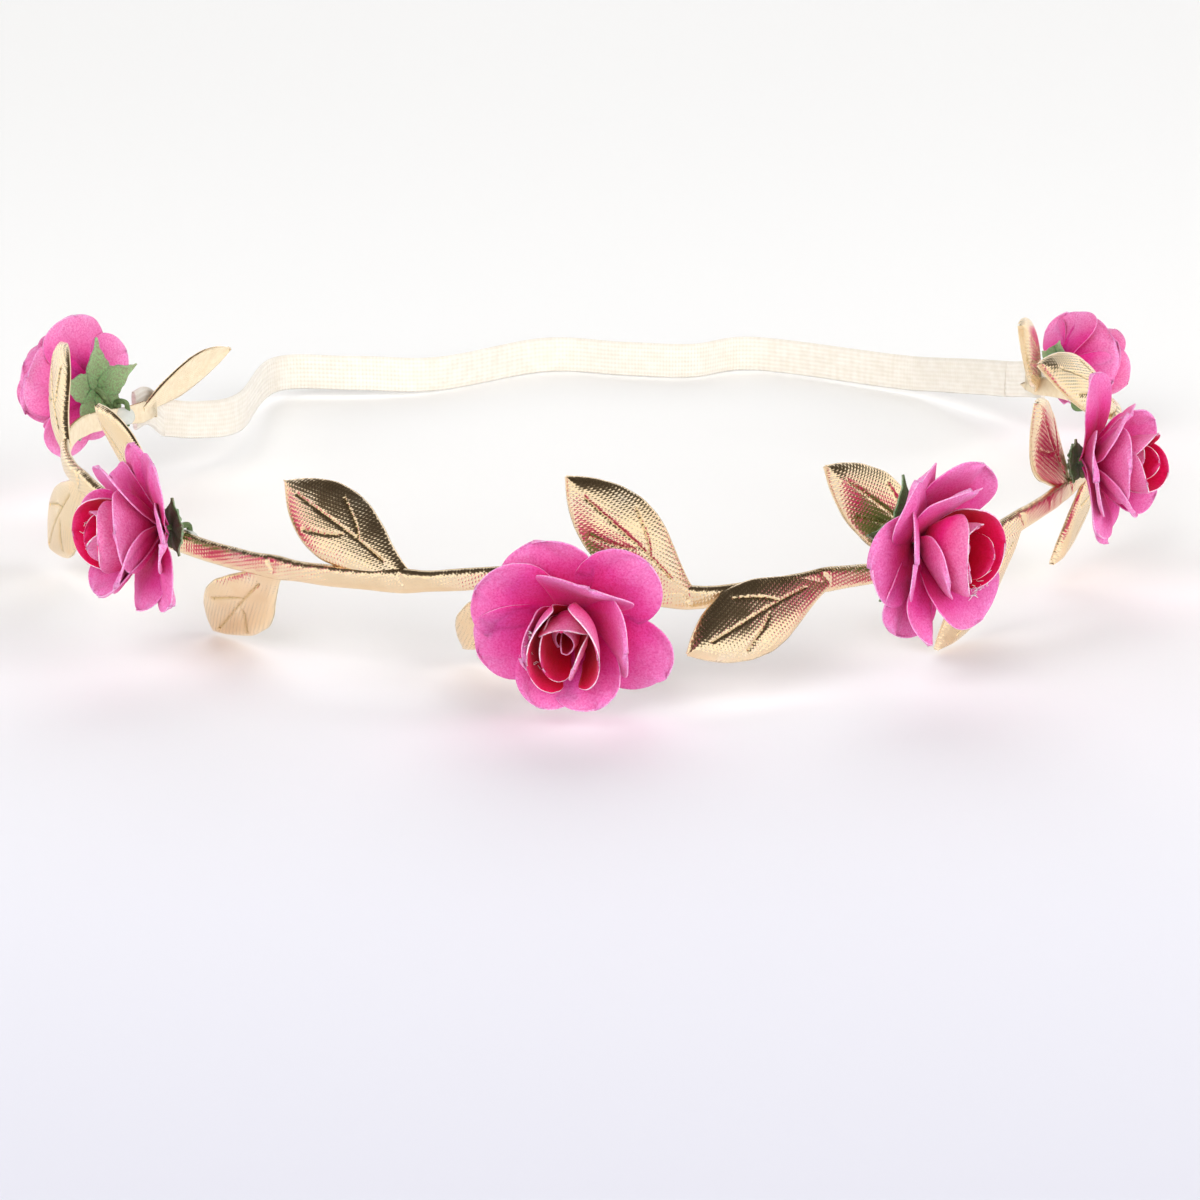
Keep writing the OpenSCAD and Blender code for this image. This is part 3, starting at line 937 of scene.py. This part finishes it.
def build_elastic():
    """The free band as three runs, and its two ends on their films of glue."""
    last = len(BAND) - 1
    runs = {
        "elastic_run_left": (0, BAND_LEFT_END, "left_side", "vine_front"),
        "elastic_run_back": (BAND_LEFT_END, BAND_RIGHT_END, "vine_front", "elastic_back"),
        "elastic_run_right": (BAND_RIGHT_END, last, "right_side", "vine_front"),
    }
    for name, (first, final, a, b) in runs.items():
        strap = Surface(name)
        strap.grid(strap_rows(BAND, first, final, 14, 0.5), wrap=True, caps=True)
        obj = strap.make([ELASTIC])
        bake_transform(obj)
        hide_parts("elastic_band")
    ends = {
        "left": ("left_side", tab_path(LAST_STEM, LAST_STEM - 1, BAND[0]), LAST_STEM),
        "right": ("right_side", tab_path(0, 1, BAND[last]), 0),
    }
    for side, (body, path, stem_end) in ends.items():
        tab = Surface(f"elastic_{side}_end")
        tab.grid(strap_rows(path, 0, 2, 12), wrap=True, caps=True)
        obj = tab.make([ELASTIC])
        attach(obj, body)
        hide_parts(f"elastic_{side}_tab")
        film = Surface(f"elastic_{side}_film")
        under = inward(STEM, stem_end) * (BAND_T + GLUE_T) / 2
        middle = [path[0].lerp(path[1], 0.1 + 0.8 * k / 10) + under for k in range(11)]
        film.grid(ring_around(middle, 1.1, 16, 0.3, up=inward(STEM, stem_end)), wrap=True, caps=True)
        obj = film.make([GLUE])
        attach(obj, body)
        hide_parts(f"elastic_{side}_glue")


# ---------------------------------------------------------------- stage
def build_stage():
    """A pale floor, a studio sky and three soft lamps."""
    made, tree, shader = material("floor", Roughness=0.6, Specular_IOR_Level=0.1)
    where = node(tree, "ShaderNodeTexCoord").outputs["Object"]
    parts = node(tree, "ShaderNodeSeparateXYZ", None, {0: where})
    # Painted light and shade: the floor is painted lavender grey at the front and white towards the back,
    # standing in for how the lamps fall off over it
    depth = calc(tree, "MULTIPLY_ADD", parts.outputs[1], 2.2, 0.55)
    tones = [(0.0, (0.66, 0.66, 0.75)), (0.25, (0.84, 0.84, 0.91)), (0.5, (0.99, 0.99, 0.99))]
    put(tree, shader.inputs["Base Color"], ramp(tree, depth, tones))
    mesh = bpy.data.meshes.new("floor")
    corners = [(x * FLOOR_HALF, y * FLOOR_HALF, 0) for x, y in ((-1, -1), (1, -1), (1, 1), (-1, 1))]
    mesh.from_pydata(corners, [], [(0, 1, 2, 3)])
    mesh.materials.append(made)
    floor = bpy.data.objects.new("floor", mesh)
    floor.location.z = cad_box[0].z - FLOOR_GAP
    bpy.context.scene.collection.objects.link(floor)

    scene = bpy.context.scene
    scene.view_settings.view_transform = "Standard"
    world = bpy.data.worlds.new("studio")
    world.use_nodes = True
    scene.world = world
    tree = world.node_tree
    where = node(tree, "ShaderNodeTexCoord").outputs["Generated"]
    parts = node(tree, "ShaderNodeSeparateXYZ", None, {0: where})
    # White from the horizon up, and dark overhead, so that the gold has something dark to reflect
    white = (1.0, 1.0, 1.0)
    tones = [(0.0, white), (0.32, white), (0.54, (0.1, 0.09, 0.08)), (1.0, (0.04, 0.035, 0.03))]
    sky = ramp(tree, parts.outputs[2], tones)
    put(tree, tree.nodes["Background"].inputs["Color"], sky)
    tree.nodes["Background"].inputs["Strength"].default_value = SKY_STRENGTH

    # Name, place, size in metres and power in watts
    lights = [
        ("key", (-0.5, -0.9, 0.75), 0.9, 8.5),
        ("fill", (0.9, -0.65, 0.6), 1.0, 8.0),
        ("back", (0.0, 1.6, 1.4), 2.0, 23.0),
    ]
    for name, where, size, power in lights:
        lamp = bpy.data.lights.new(name, "AREA")
        lamp.size = size
        lamp.energy = power
        obj = bpy.data.objects.new(name, lamp)
        obj.location = where
        obj.rotation_euler = (-Vector(where)).to_track_quat("-Z", "Y").to_euler()
        obj.visible_glossy = False
        scene.collection.objects.link(obj)


def build_camera():
    """A long lens in front of the crown, looking slightly down."""
    lens = bpy.data.cameras.new("camera")
    lens.lens = LENS_MM
    lens.sensor_width = SENSOR_MM
    camera = bpy.data.objects.new("camera", lens)
    camera.location = CAMERA_AT
    camera.rotation_euler = (math.radians(CAMERA_TILT), 0, 0)
    bpy.context.scene.collection.objects.link(camera)
    bpy.context.scene.camera = camera


build_camera()
build_stage()
build_vine()
for seed, rose_name in enumerate(ROSES, 1):
    build_rose(rose_name, seed)
build_elastic()
